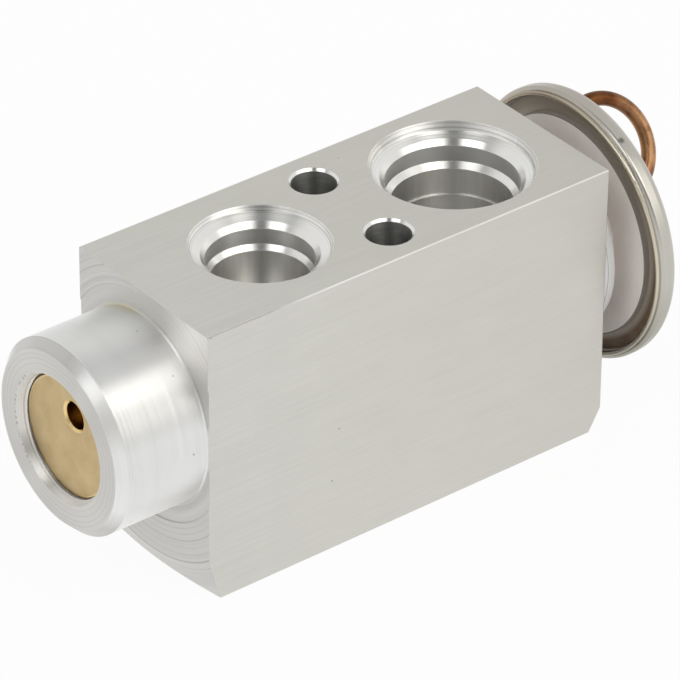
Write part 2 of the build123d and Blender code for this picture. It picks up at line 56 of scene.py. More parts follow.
# ---- places taken from the frame ----------------------------------------------------------
MOUNTS = {m["name"]: m for m in frame["record"]["mounts"]}
BODY_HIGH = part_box("valve_body")[1]
HEAD_LOW, HEAD_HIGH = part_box("head_upper_shell")
AXIS_Z = (HEAD_LOW.z + HEAD_HIGH.z) / 2
BLOCK_TOP = BODY_HIGH.z
SUCTION_X = MOUNTS["suction_outlet"]["pos_m"][0]
LIQUID_X = MOUNTS["liquid_inlet"]["pos_m"][0]
OUTLET_X = MOUNTS["liquid_outlet"]["pos_m"][0]
BOLT_X = MOUNTS["bolt_holes"]["pos_m"][0]
BOLT_HALF_SPACING = MOUNTS["bolt_holes"]["dims"]["spacing_y_mm"] / 2 * MM

# ---- driving sizes ------------------------------------------------------------------------
BLOCK_HALF_LENGTH = 35.85 * MM
SUCTION_MOUTH_RADIUS = 12.2 * MM
LIQUID_MOUTH_RADIUS = 10.3 * MM
BOLT_MOUTH_RADIUS = 3.7 * MM
SUCTION_BORE_RADIUS = 8.85 * MM
LIQUID_BORE_RADIUS = 7.15 * MM
BOSS_MOUTH_RADIUS = 9.92 * MM
PLUG_CORNER_RADIUS = 8.75 * MM   # where the plug's edge begins to look freshly cut
KEY_HOLE = (-1.67 * MM, 4.16 * MM)   # centre beside and above the valve axis
KEY_HOLE_RADIUS = 2.05 * MM
FLANGE_RADIUS = 17.2 * MM
CHANNEL_RADIUS = 19.95 * MM      # outer wall of the head's channel
CHANNEL_BACK = BLOCK_HALF_LENGTH + 7.1 * MM
LIP_RADIUS = 20.25 * MM          # middle of the rolled lip
BOLT_ROUGHNESS_PITCH = 0.6 * MM  # between the rings left by the drill in the bolt holes
WELD_MARK = (42.4 * MM, -9.92 * MM, 44.57 * MM)   # end of the rim's weld
SKIN = 0.03 * MM                 # depth that still counts as the outer face
EDGE_HIGHLIGHT_WIDTH = 0.2 * MM            # of the painted highlight line on the block's edges
EDGE_HIGHLIGHT_STRENGTH = 0.55
EDGE_WIDTH = 0.12 * MM           # of the rounded edges, which carry a painted highlight
GROOVE_DEPTH = 0.03 * MM         # of tool marks and grain
COARSE_PITCH = 0.30 * MM         # between the tool marks of the rougher turning
MEDIUM_PITCH = 0.25 * MM
SMALL_PITCH = 0.20 * MM
PORT_PITCH = 0.16 * MM

# lines left by the tool, and one line of painted shade at the boss's root: place (radius, or x for
# the boss) and half width in mm, and strength
FACE_RINGS = ((17.75, 0.16, 1.0), (18.6, 0.10, 0.5), (19.5, 0.09, 0.4), (20.5, 0.13, 0.8),
              (21.6, 0.09, 0.35), (22.6, 0.10, 0.45), (23.75, 0.20, 1.0), (24.9, 0.12, 0.4))
SUCTION_RINGS = ((12.05, 0.10, 0.5), (11.75, 0.09, 0.8), (11.45, 0.08, 0.4), (11.1, 0.07, 0.25))
LIQUID_RINGS = ((10.12, 0.10, 0.5), (9.85, 0.09, 0.7), (9.62, 0.07, 0.4))
MOUTH_RINGS = ((10.5, 0.10, 0.3), (11.3, 0.12, 0.45), (12.1, 0.10, 0.55), (12.8, 0.12, 0.4))
# the boss's last row, near its root, is painted shade from the block's face; the others are tool
# lines
BOSS_LINES = ((-48.75, 0.09, 0.7), (-48.25, 0.06, 0.35), (-37.1, 0.08, 0.5))

# thread turn in the boss mouth
THREAD_ROOT_RADIUS = 9.52 * MM
THREAD_CREST_RADIUS = 9.22 * MM
THREAD_PITCH = 1.0 * MM
THREAD_HALF_WIDTH = 0.24 * MM
THREAD_START = -49.98 * MM
THREAD_TURNS = 0.86
THREAD_FIRST_TURN = 0.3          # where on the circle it starts, as a share of a turn
THREAD_RUN_OUT = 0.08            # share of a turn over which it fades at each end
THREAD_STEPS = 240
MOUTH_CHAMFER_END = -49.77 * MM  # where the mouth's chamfer meets the bore
MOUTH_CHAMFER_SLOPE = 0.45       # growth of its radius for each step outwards

# ---- colours ------------------------------------------------------------------------------
# the block: bar and its streaks, painted highlight and shade on its edges, faced ends, turned
# boss, ports, bolt holes
BAR_DARK, BAR_LIGHT = (0.685, 0.678, 0.64), (0.74, 0.732, 0.69)
STREAK_DARK, STREAK_LIGHT = (0.64, 0.633, 0.595), (0.68, 0.673, 0.635)
BAR_HEAD_END = (0.63, 0.613, 0.56)
# painted highlight along the block's outer edges, and painted shade on the top ones near the boss
EDGE_HIGHLIGHT, EDGE_SHADE = (0.97, 0.965, 0.94), (0.36, 0.35, 0.33)
FACED_DARK, FACED_LIGHT = (0.70, 0.692, 0.67), (0.80, 0.79, 0.765)
# painted highlight on the upper front corner of the end faces
FACE_HIGHLIGHT = (0.98, 0.965, 0.92)
FACE_RING = (0.30, 0.29, 0.27)
TURNED_DARK, TURNED_LIGHT = (0.85, 0.85, 0.84), (0.93, 0.925, 0.91)
TURNED_LINE = (0.55, 0.54, 0.52)
# painted shade where the chamfer faces up or down, and on the boss's crown
BOSS_SLOPE_SHADE = (0.60, 0.59, 0.57)
BOSS_CROWN_SHADE = (0.70, 0.70, 0.69)
BOSS_STAIN = (0.66, 0.63, 0.47)
ANNULUS_DARK, ANNULUS_LIGHT = (0.63, 0.615, 0.59), (0.74, 0.725, 0.695)
ANNULUS_RING = (0.42, 0.41, 0.39)
TICK = (0.10, 0.095, 0.08)
PORT_WALL = (0.61, 0.61, 0.60)
DRILLED_DARK, DRILLED_LIGHT = (0.60, 0.585, 0.555), (0.76, 0.745, 0.71)
BOLT_WALL_DARK, BOLT_WALL_LIGHT = (0.26, 0.26, 0.25), (0.46, 0.46, 0.44)
STEP = (0.87, 0.865, 0.845)
STEP_RING = (0.52, 0.51, 0.49)
PIT = (0.16, 0.155, 0.14)
# painted highlight on the rounded edges
ROUNDED_EDGE_HIGHLIGHT = (0.92, 0.915, 0.89)

# the plug
BRASS_DARK, BRASS_LIGHT = (0.50, 0.37, 0.19), (0.66, 0.52, 0.29)
BRASS_BLOT = (0.26, 0.18, 0.09)
BRASS_FRESH = (0.86, 0.64, 0.30)
# painted shade inside the key hole, mottled with painted glints
KEY_HOLE_SHADE, KEY_HOLE_GLINT = (0.16, 0.08, 0.025), (0.62, 0.40, 0.14)

# the head
FLANGE_DARK, FLANGE_LIGHT = (0.90, 0.84, 0.80), (0.97, 0.915, 0.875)
FLANGE_SPECK = (0.30, 0.26, 0.22)
# painted shade on the flange's edge and a painted shadow in the seam round it
FLANGE_EDGE_SHADE = (0.52, 0.47, 0.42)
FLANGE_SEAM_SHADOW = (0.07, 0.06, 0.05)
SHELL_DARK, SHELL_LIGHT = (0.52, 0.50, 0.455), (0.605, 0.585, 0.535)
OLIVE_DARK, OLIVE_LIGHT, OLIVE_TOP = (0.38, 0.34, 0.29), (0.49, 0.44, 0.375), (0.24, 0.205, 0.15)
SHELL_WARM = (0.42, 0.38, 0.325)
SHELL_BROWN = (0.13, 0.07, 0.03)
# painted shade low down on the shell
SHELL_LOW_SHADE = (0.33, 0.31, 0.26)
# the lip: brown tint on its far side, painted highlight on its near side
LIP_FAR, LIP_HIGHLIGHT = (0.30, 0.23, 0.15), (0.74, 0.67, 0.49)
WELD_DARK = (0.10, 0.085, 0.07)

# the tube, the hidden metals (light, then dark) and the rubber
COPPER_DARK, COPPER_BROWN = (0.10, 0.035, 0.013), (0.20, 0.078, 0.03)
# lighter copper far from the head, mottled with painted highlights
COPPER_CLEAN_SHEEN = (0.66, 0.38, 0.20)
TURNED_STEEL = (0.55, 0.55, 0.54), (0.45, 0.45, 0.44)
SPRING_STEEL = (0.34, 0.34, 0.35), (0.26, 0.26, 0.27)
BALL_STEEL = (0.72, 0.72, 0.72), (0.66, 0.66, 0.66)
ROLLED_STAINLESS = (0.60, 0.60, 0.59), (0.55, 0.55, 0.54)
BRAZED_BRASS = (0.68, 0.50, 0.26), (0.55, 0.38, 0.18)
RUBBER_DARK, RUBBER_LIGHT = (0.012, 0.012, 0.012), (0.03, 0.03, 0.03)

# ---- zones --------------------------------------------------------------------------------
# where a tint begins and where it is full, along x, y, z or the radius
BAR_HEAD_END_X = (-30 * MM, 36 * MM)
EDGE_SHADE_X = (-18 * MM, -25 * MM)
EDGE_SHADE_Z = (BLOCK_TOP - 1 * MM, BLOCK_TOP - 0.5 * MM)
FACE_HIGHLIGHT_Y = (-4 * MM, -11 * MM)
FACE_HIGHLIGHT_Z = (AXIS_Z + 8 * MM, AXIS_Z + 14 * MM)
RINGS_DEEPER_Z = (AXIS_Z, 4 * MM)
SLOPE_SHADE_HEIGHT = (5 * MM, 9.5 * MM)       # above or below the valve axis
SLOPE_LIT_Y = (-2 * MM, -5 * MM)        # the part of the chamfer that gets no painted shade
SLOPE_LIT_Z = (AXIS_Z - 2 * MM, AXIS_Z + 2 * MM)
CROWN_X = (-49 * MM, -38 * MM)
CROWN_Y = (-4 * MM, 3 * MM)
CROWN_Z = (AXIS_Z + 9 * MM, AXIS_Z + 14 * MM)
STAIN_X = (-37.8 * MM, -36.4 * MM)
STAIN_Y = (-3 * MM, 2 * MM)
TICKS_Y = (5 * MM, 8 * MM)
TICKS_HALF_WIDTH = 0.5 * MM
SHELL_WARM_Y = (-9 * MM, 4 * MM)
SHELL_WARM_Z = (AXIS_Z, AXIS_Z + 10 * MM)
OLIVE_TOP_Z = (AXIS_Z + 8 * MM, AXIS_Z + 16 * MM)
BROWN_RADIUS = (17.6 * MM, 18.4 * MM)
BROWN_Z = (AXIS_Z + 14 * MM, AXIS_Z - 6 * MM)
SHELL_SHADE_Z = (AXIS_Z, AXIS_Z - 12 * MM)
LIP_HIGHLIGHT_Y = (5 * MM, -7 * MM)
LIP_HALF_WIDTH = 0.45 * MM
WELD_MARK_REACH = (0.85 * MM, 0.45 * MM)
COPPER_SHEEN_X = (55.5 * MM, 60.0 * MM)

# ---- camera and room ----------------------------------------------------------------------
# camera: the point it was set up on, how far it stands off, and how it is turned
AIM = Vector((0, 0, 21.5 * MM))
CAMERA_DISTANCE = 816.3 * MM
CAMERA_AZIMUTH = radians(-38.54)
CAMERA_ELEVATION = radians(33.28)
CAMERA_ROLL = radians(0.477)
LENS = 301.9
SENSOR = 36.0
SHIFT_X = -0.0085
SHIFT_Y = 0.0054
FAR_CLIP = 20

# a pale room that darkens overhead and high up on the camera's side, with soft bright patches:
# turn from the camera, elevation, inner and outer radius (degrees), strength over the room, colour
ROOM_LEVEL = 0.87                # brightness of the room at the horizon
ROOM_OVERHEAD = 0.80             # brightness straight up
ROOM_BLUE = 0.99                 # share of blue in the room's light
ROOM_SHADE = 0.20                # brightness of the dark zone
CLEAR_WHITE = (1.0, 1.0, 1.0)    # what the camera sees behind the object
SHADE_ELEVATION = 58
SHADE_INNER, SHADE_OUTER = 18, 62   # radii of the dark zone in degrees
PATCHES = ((-40, 53, 9, 19, 2.1, (1.0, 1.0, 1.0)),
           (40, 56, 9, 20, 2.2, (1.0, 0.99, 0.96)),
           (60, 38, 8, 34, 0.95, (1.0, 0.97, 0.90)))
FLOOR_HALF_WIDTH = 3.0
FLOOR_WHITE = (0.85, 0.85, 0.85)
FLOOR_GLOW = 0.94                # share of its own white that the floor shows to the eye

# ---- node helpers -------------------------------------------------------------------------


class Graph:
    """Short names for the shader nodes of one tree, so that a material reads as a recipe."""

    def __init__(self, tree):
        self.tree = tree

    def add(self, kind, **settings):
        node = self.tree.nodes.new(kind)
        for name, value in settings.items():
            setattr(node, name, value)
        return node

    def put(self, socket, value):
        """Links an output, or sets a constant; a colour gets its full alpha here."""
        if isinstance(value, bpy.types.NodeSocket):
            self.tree.links.new(value, socket)
        elif socket.type == "RGBA":
            socket.default_value = (*value, 1.0)
        else:
            socket.default_value = value

    def math(self, operation, a, b=0.0):
        node = self.add("ShaderNodeMath", operation=operation)
        self.put(node.inputs[0], a)
        self.put(node.inputs[1], b)
        return node.outputs[0]

    def plus(self, a, b):
        return self.math("ADD", a, b)

    def less(self, a, b):
        return self.math("SUBTRACT", a, b)

    def times(self, first, *others):
        """Product of two or more values."""
        for other in others:
            first = self.math("MULTIPLY", first, other)
        return first

    def most(self, first, *others):
        """Largest of two or more values."""
        for other in others:
            first = self.math("MAXIMUM", first, other)
        return first

    def size(self, a):
        return self.math("ABSOLUTE", a)

    def outside(self, mask):
        """1 where the mask is 0."""
        return self.math("SUBTRACT", 1.0, mask)

    def span(self, value, low, high, to_low=0.0, to_high=1.0, smooth=False):
        """value from low..high becomes to_low..to_high, held at both ends."""
        node = self.add("ShaderNodeMapRange")
        if smooth:
            node.interpolation_type = "SMOOTHSTEP"
        for name, number in (("From Min", low), ("From Max", high),
                             ("To Min", to_low), ("To Max", to_high)):
            self.put(node.inputs[name], number)
        self.put(node.inputs["Value"], value)
        return node.outputs["Result"]

    def between(self, data_type, kind, factor, a, b):
        """Mix node of one data type; its sockets of that kind are found by name."""
        node = self.add("ShaderNodeMix", data_type=data_type)
        for name, value, wanted in (("Factor", factor, "VALUE"), ("A", a, kind), ("B", b, kind)):
            socket = [s for s in node.inputs if s.name == name and s.type == wanted][0]
            self.put(socket, value)
        return [s for s in node.outputs if s.type == kind][0]

    def mix(self, factor, a, b):
        """Mix of two colours."""
        return self.between("RGBA", "RGBA", factor, a, b)

    def blend(self, factor, a, b):
        """Mix of two values."""
        return self.between("FLOAT", "VALUE", factor, a, b)

    def choose(self, factor, a, b):
        """Mix of two vectors."""
        return self.between("VECTOR", "VECTOR", factor, a, b)

    def split(self, vector):
        node = self.add("ShaderNodeSeparateXYZ")
        self.put(node.inputs[0], vector)
        return node.outputs[0], node.outputs[1], node.outputs[2]

    def join(self, x, y, z):
        node = self.add("ShaderNodeCombineXYZ")
        for socket, value in zip(node.inputs, (x, y, z)):
            self.put(socket, value)
        return node.outputs[0]

    def vector(self, operation, a, b):
        """Vector sum; a dot product or a distance comes out as a value."""
        node = self.add("ShaderNodeVectorMath", operation=operation)
        self.put(node.inputs[0], a)
        self.put(node.inputs[1], b)
        return node.outputs["Value" if operation in ("DOT_PRODUCT", "DISTANCE") else "Vector"]

    def band(self, value, centre, half_width, strength=1.0):
        """A soft line: strength at the centre, nothing past the half width."""
        gap = self.size(self.less(value, centre))
        return self.span(gap, 0.0, half_width, strength, 0.0, smooth=True)

    def noise(self, vector, scale=1.0, detail=2.0, roughness=0.5):
        node = self.add("ShaderNodeTexNoise")
        self.put(node.inputs["Vector"], vector)
        for name, value in (("Scale", scale), ("Detail", detail), ("Roughness", roughness)):
            self.put(node.inputs[name], value)
        return node.outputs["Fac"]

    def bump(self, height, strength, normal=None, distance=GROOVE_DEPTH):
        node = self.add("ShaderNodeBump")
        self.put(node.inputs["Height"], height)
        self.put(node.inputs["Strength"], strength)
        self.put(node.inputs["Distance"], distance)
        if normal is not None:
            self.put(node.inputs["Normal"], normal)
        return node.outputs[0]

    def group(self, group, **inputs):
        node = self.add("ShaderNodeGroup", node_tree=group)
        for name, value in inputs.items():
            self.put(node.inputs[name], value)
        return node.outputs


def new_group(name, inputs, outputs):
    """An empty shader group: inputs and outputs are (name, socket type, default) rows."""
    tree = bpy.data.node_groups.new(name, "ShaderNodeTree")
    for direction, rows in (("INPUT", inputs), ("OUTPUT", outputs)):
        for label, kind, default in rows:
            socket = tree.interface.new_socket(label, in_out=direction, socket_type=kind)
            if default is not None:
                socket.default_value = default
    graph = Graph(tree)
    source = graph.add("NodeGroupInput")
    sink = graph.add("NodeGroupOutput")
    return tree, graph, source.outputs, sink.inputs


FLOAT = "NodeSocketFloat"
VECTOR = "NodeSocketVector"


def polar_group():
    """Radius, angle and place along an axis that points along X or Z.

    Radius is the distance from the axis, Angle runs from 0 to 1 round it, Along is the
    coordinate on it. Upright 0 takes the axis along X, Upright 1 takes it along Z.
    """
    tree, g, given, out = new_group(
        "polar place",
        [("Point", VECTOR, None), ("Centre", VECTOR, None), ("Upright", FLOAT, 0.0)],
        [("Radius", FLOAT, None), ("Angle", FLOAT, None), ("Along", FLOAT, None)])
    x, y, z = g.split(g.vector("SUBTRACT", given["Point"], given["Centre"]))
    across = g.blend(given["Upright"], z, x)
    squares = g.plus(g.math("POWER", across, 2.0), g.math("POWER", y, 2.0))
    g.put(out["Radius"], g.math("SQRT", squares))
    turn = g.math("ARCTAN2", across, y)
    g.put(out["Angle"], g.plus(g.math("DIVIDE", turn, 2 * pi), 0.5))
    g.put(out["Along"], g.blend(given["Upright"], x, z))
    return tree


def turning_group():
    """Tool marks of a lathe: values that change with radius and along the axis, hardly round it.

    Fine is the closely spaced groove of each turn, Broad the slower change between passes.
    """
    tree, g, given, out = new_group(
        "turning marks",
        [("Radius", FLOAT, 0.0), ("Along", FLOAT, 0.0), ("Angle", FLOAT, 0.0),
         ("Pitch", FLOAT, SMALL_PITCH)],
        [("Fine", FLOAT, None), ("Broad", FLOAT, None)])
    radius = g.math("DIVIDE", given["Radius"], given["Pitch"])
    along = g.math("DIVIDE", given["Along"], given["Pitch"])
    place = g.join(radius, along, g.times(given["Angle"], 3.0))
    g.put(out["Fine"], g.noise(place, 1.0, 2.0, 0.6))
    g.put(out["Broad"], g.noise(place, 0.13, 2.0, 0.5))
    return tree


def scratch_group():
    """Long fine lines along one direction, broken up by a slow noise.

    The point is stretched so that the noise is many times longer along X than across it. Bands
    is the same at a wider spacing, Patches a slow change that has no direction.
    """
    tree, g, given, out = new_group(
        "drawn lines",
        [("Point", VECTOR, None), ("Width", FLOAT, 0.1 * MM), ("Length", FLOAT, 10 * MM)],
        [("Lines", FLOAT, None), ("Bands", FLOAT, None), ("Patches", FLOAT, None)])
    x, y, z = g.split(given["Point"])
    long_x = g.math("DIVIDE", x, given["Length"])
    thin_y = g.math("DIVIDE", y, given["Width"])
    thin_z = g.math("DIVIDE", z, given["Width"])
    g.put(out["Lines"], g.noise(g.join(long_x, thin_y, thin_z), 1.0, 3.0, 0.65))
    slow = g.join(g.times(long_x, 0.5), g.times(thin_y, 0.27), g.times(thin_z, 0.27))
    g.put(out["Bands"], g.noise(slow, 1.0, 2.0, 0.6))
    g.put(out["Patches"], g.noise(given["Point"], 160.0, 3.0, 0.55))
    return tree


def edge_group():
    """Mask of rounded edges, for a painted highlight: 1 where a rounded copy of the surface turns
    away from the flat one.
    """
    tree, g, given, out = new_group(
        "edge wear",
        [("Width", FLOAT, 0.2 * MM)],
        [("Mask", FLOAT, None), ("Normal", VECTOR, None)])
    rounded = g.add("ShaderNodeBevel", samples=6)
    g.put(rounded.inputs["Radius"], given["Width"])
    flat = g.add("ShaderNodeNewGeometry")
    likeness = g.vector("DOT_PRODUCT", rounded.outputs[0], flat.outputs["Normal"])
    g.put(out["Mask"], g.span(likeness, 0.995, 0.80))
    g.put(out["Normal"], rounded.outputs[0])
    return tree


def pit_group():
    """Small dark pits, scattered thinly: 1 at the middle of a pit, 0 elsewhere."""
    tree, g, given, out = new_group(
        "pits",
        [("Point", VECTOR, None), ("Spacing", FLOAT, 4 * MM), ("Size", FLOAT, 0.18 * MM)],
        [("Mask", FLOAT, None)])
    cells = g.add("ShaderNodeTexVoronoi")
    g.put(cells.inputs["Vector"], given["Point"])
    g.put(cells.inputs["Scale"], g.math("DIVIDE", 1.0, given["Spacing"]))
    reach = g.math("DIVIDE", given["Size"], given["Spacing"])
    chance = g.span(g.split(cells.outputs["Color"])[0], 0.55, 0.60)
    near = g.span(g.math("DIVIDE", cells.outputs["Distance"], reach), 1.0, 0.4)
    g.put(out["Mask"], g.times(near, chance))
    return tree


POLAR = polar_group()
TURNING = turning_group()
SCRATCHES = scratch_group()
EDGES = edge_group()
PITS = pit_group()


def new_material(name):
    """A material with one Principled shader; also returns its graph, its sockets and the point."""
    material = bpy.data.materials.new(name)
    material.use_nodes = True
    tree = material.node_tree
    tree.nodes.clear()
    g = Graph(tree)
    shader = g.add("ShaderNodeBsdfPrincipled")
    output = g.add("ShaderNodeOutputMaterial")
    tree.links.new(shader.outputs[0], output.inputs["Surface"])
    point = g.add("ShaderNodeTexCoord").outputs["Object"]
    return material, g, shader.inputs, point


def give(material, *nodes):
    """Puts a material on carried-over solids."""
    for name in nodes:
        mesh = frame["nodes"][name].data
        mesh.materials.clear()
        mesh.materials.append(material)


def place_object(name, data):
    """A new object in the scene, at the origin."""
    piece = bpy.data.objects.new(name, data)
    bpy.context.scene.collection.objects.link(piece)
    return piece


def polar(g, point, centre, upright=0.0):
    """Place round an axis: along X through the centre, or along Z where upright is 1."""
    return g.group(POLAR, Point=point, Centre=centre, Upright=upright)


def lathe_marks(g, place, pitch):
    return g.group(TURNING, Radius=place["Radius"], Along=place["Along"], Angle=place["Angle"],
                   Pitch=pitch)


def about_valve_axis(g, point, pitch):
    """Place round the valve axis, and the lathe marks there."""
    place = polar(g, point, (0, 0, AXIS_Z))
    return place, lathe_marks(g, place, pitch)


def lines_at(g, value, rows):
    """The strongest of several soft lines, each row being (place in mm, half width, strength)."""
    total = 0.0
    for place, half_width, strength in rows:
        total = g.most(g.band(value, place * MM, half_width * MM, strength), total)
    return total


# ---- the block ----------------------------------------------------------------------------
def block_zones(g, point):
    """Masks of the block's machined zones, and the places round its axis and its holes."""
    zone = SimpleNamespace()
    x, y, z = zone.x, zone.y, zone.z = g.split(point)
    zone.normal = g.add("ShaderNodeNewGeometry").outputs["Normal"]
    zone.facing_x, zone.facing_y, zone.facing_z = (g.size(n) for n in g.split(zone.normal))

    low_half = g.span(z, BLOCK_TOP / 2, BLOCK_TOP / 2 - SKIN)
    zone.liquid_centre = g.join(g.blend(low_half, LIQUID_X, OUTLET_X), 0.0, 0.0)
    zone.bolt_centre = g.join(BOLT_X, g.times(g.math("SIGN", y), BOLT_HALF_SPACING), 0.0)
    zone.ends = polar(g, point, (0, 0, AXIS_Z))
    zone.suction = polar(g, point, (SUCTION_X, 0, 0), 1.0)
    zone.liquid = polar(g, point, zone.liquid_centre, 1.0)
    zone.bolt = polar(g, point, zone.bolt_centre, 1.0)

    under_skin = g.times(g.span(z, BLOCK_TOP - SKIN, BLOCK_TOP - 2 * SKIN),
                         g.span(z, SKIN, 2 * SKIN))
    zone.in_suction, zone.in_liquid, zone.in_bolt = (
        g.times(under_skin, g.span(place["Radius"], mouth + SKIN, mouth + SKIN / 2))
        for place, mouth in ((zone.suction, SUCTION_MOUTH_RADIUS),
                             (zone.liquid, LIQUID_MOUTH_RADIUS),
                             (zone.bolt, BOLT_MOUTH_RADIUS)))
    zone.in_port = g.most(zone.in_suction, zone.in_liquid, zone.in_bolt)
    zone.beyond = g.span(g.size(x), BLOCK_HALF_LENGTH + SKIN, BLOCK_HALF_LENGTH + 2 * SKIN)
    zone.is_end = g.most(zone.beyond, g.span(zone.facing_x, 0.4, 0.5))
    zone.wall = g.span(zone.facing_z, 0.35, 0.15)
    zone.low_side = g.span(z, *RINGS_DEEPER_Z, 0.7, 1.0)

    # painted edge highlight: only on the outer edges, where the surface faces none of the three
    # directions
    largest = g.most(zone.facing_x, zone.facing_y, zone.facing_z)
    side_edge = g.span(g.size(y), BODY_HIGH.y - EDGE_HIGHLIGHT_WIDTH, BODY_HIGH.y - 0.8 * EDGE_HIGHLIGHT_WIDTH)
    top_edge = g.span(z, BLOCK_TOP - EDGE_HIGHLIGHT_WIDTH, BLOCK_TOP - 0.8 * EDGE_HIGHLIGHT_WIDTH)
    zone.burr = g.times(g.span(largest, 0.92, 0.80), g.most(side_edge, top_edge),
                        EDGE_HIGHLIGHT_STRENGTH)
    return zone


def bar_colour(g, zone, lines):
    """Drawn bar with darker streaks, yellower towards the head; a painted highlight lies along its
    outer edges, and turns into painted shade on the top ones near the boss."""
    bar = g.mix(lines["Patches"], BAR_DARK, BAR_LIGHT)
    streak = g.plus(g.span(lines["Bands"], 0.3, 0.7, 0.0, 0.6),
                    g.span(lines["Lines"], 0.35, 0.7, 0.0, 0.4))
    bar = g.mix(streak, bar, g.mix(lines["Patches"], STREAK_DARK, STREAK_LIGHT))
    bar = g.mix(g.span(zone.x, *BAR_HEAD_END_X, 0.0, 0.6), bar, BAR_HEAD_END)
    # painted shade: the top edges turn dark near the boss
    edge_shade_mask = g.times(g.span(zone.x, *EDGE_SHADE_X), g.span(zone.z, *EDGE_SHADE_Z))
    return g.mix(zone.burr, bar, g.mix(edge_shade_mask, EDGE_HIGHLIGHT, EDGE_SHADE))


def faced_colour(g, zone, marks):
    """End faces: broad facing marks, a painted highlight on the upper front corner and a few
    deeper rings.
    """
    faced = g.mix(marks["Broad"], FACED_DARK, FACED_LIGHT)
    # painted highlight on the upper front corner
    upper_front = g.times(g.span(zone.z, *FACE_HIGHLIGHT_Z), g.span(zone.y, *FACE_HIGHLIGHT_Y))
    faced = g.mix(g.times(upper_front, 0.9), faced, FACE_HIGHLIGHT)
    rings = lines_at(g, zone.ends["Radius"], FACE_RINGS)
    return g.mix(g.times(rings, zone.low_side, 0.45), faced, FACE_RING)


def boss_side_colour(g, zone, marks):
    """Side and chamfer of the boss: bright, with painted shade on its crown and where the chamfer
    faces up or down, and a yellowish stain at the root."""
    x, y, z = zone.x, zone.y, zone.z
    side = g.mix(marks["Broad"], TURNED_DARK, TURNED_LIGHT)
    side = g.mix(g.times(lines_at(g, x, BOSS_LINES), 0.3), side, TURNED_LINE)
    height = g.size(g.less(z, AXIS_Z))
    # painted shade on the chamfer's upper and lower slopes, except on its lit side
    lit_side = g.times(g.span(y, *SLOPE_LIT_Y), g.span(z, *SLOPE_LIT_Z))
    slope_shade = g.times(g.span(zone.facing_x, 0.5, 0.65), g.span(height, *SLOPE_SHADE_HEIGHT),
                    g.outside(lit_side))
    side = g.mix(g.times(slope_shade, 0.9), side, BOSS_SLOPE_SHADE)
    # painted shade on the crown, stronger towards the root
    crown = g.times(g.span(z, *CROWN_Z), g.span(y, *CROWN_Y))
    side = g.mix(g.times(crown, g.span(x, *CROWN_X, 0.2, 0.9)), side, BOSS_CROWN_SHADE)
    stain = g.times(crown, g.span(y, *STAIN_Y), g.span(x, *STAIN_X))
    return g.mix(g.times(stain, 0.85), side, BOSS_STAIN)


def boss_face_colour(g, zone, marks):
    """Face of the boss: rings round the mouth, and dark ticks on the far side of its rim."""
    face = g.mix(marks["Broad"], ANNULUS_DARK, ANNULUS_LIGHT)
    rings = lines_at(g, zone.ends["Radius"], MOUTH_RINGS)
    face = g.mix(g.times(rings, zone.low_side), face, ANNULUS_RING)
    chatter = g.noise(g.join(g.times(zone.ends["Angle"], 150.0), 0.0, 0.0), 1.0, 1.0)
    ticks = g.times(g.span(chatter, 0.52, 0.60),
                    g.band(zone.ends["Radius"], BOSS_MOUTH_RADIUS, TICKS_HALF_WIDTH),
                    g.span(zone.y, *TICKS_Y), 0.9)
    return g.mix(ticks, face, TICK)


def port_colour(g, zone):
    """Inside the holes: polished steps with tool rings, plain pocket walls, rubbed bores and
    rough dark bolt holes."""
    bores = (g.times(mask, g.span(place["Radius"], radius + 2 * SKIN, radius + SKIN))
             for mask, place, radius in ((zone.in_suction, zone.suction, SUCTION_BORE_RADIUS),
                                         (zone.in_liquid, zone.liquid, LIQUID_BORE_RADIUS)))
    rubbed = g.noise(g.join(g.times(zone.suction["Angle"], 60.0),
                            g.times(zone.liquid["Angle"], 60.0), g.times(zone.z, 60.0)), 1.0, 2.0)
    wall = g.mix(g.most(*bores), PORT_WALL, g.mix(rubbed, DRILLED_DARK, DRILLED_LIGHT))
    rough = g.noise(g.join(g.times(zone.bolt["Angle"], 8.0),
                           g.math("DIVIDE", zone.z, BOLT_ROUGHNESS_PITCH), 0.0), 1.0, 3.0)
    wall = g.mix(zone.in_bolt, wall, g.mix(rough, BOLT_WALL_DARK, BOLT_WALL_LIGHT))
    steps = STEP
    for mask, place, rows in ((zone.in_suction, zone.suction, SUCTION_RINGS),
                              (zone.in_liquid, zone.liquid, LIQUID_RINGS)):
        steps = g.mix(g.times(mask, lines_at(g, place["Radius"], rows)), steps, STEP_RING)
    return g.mix(zone.wall, steps, wall)


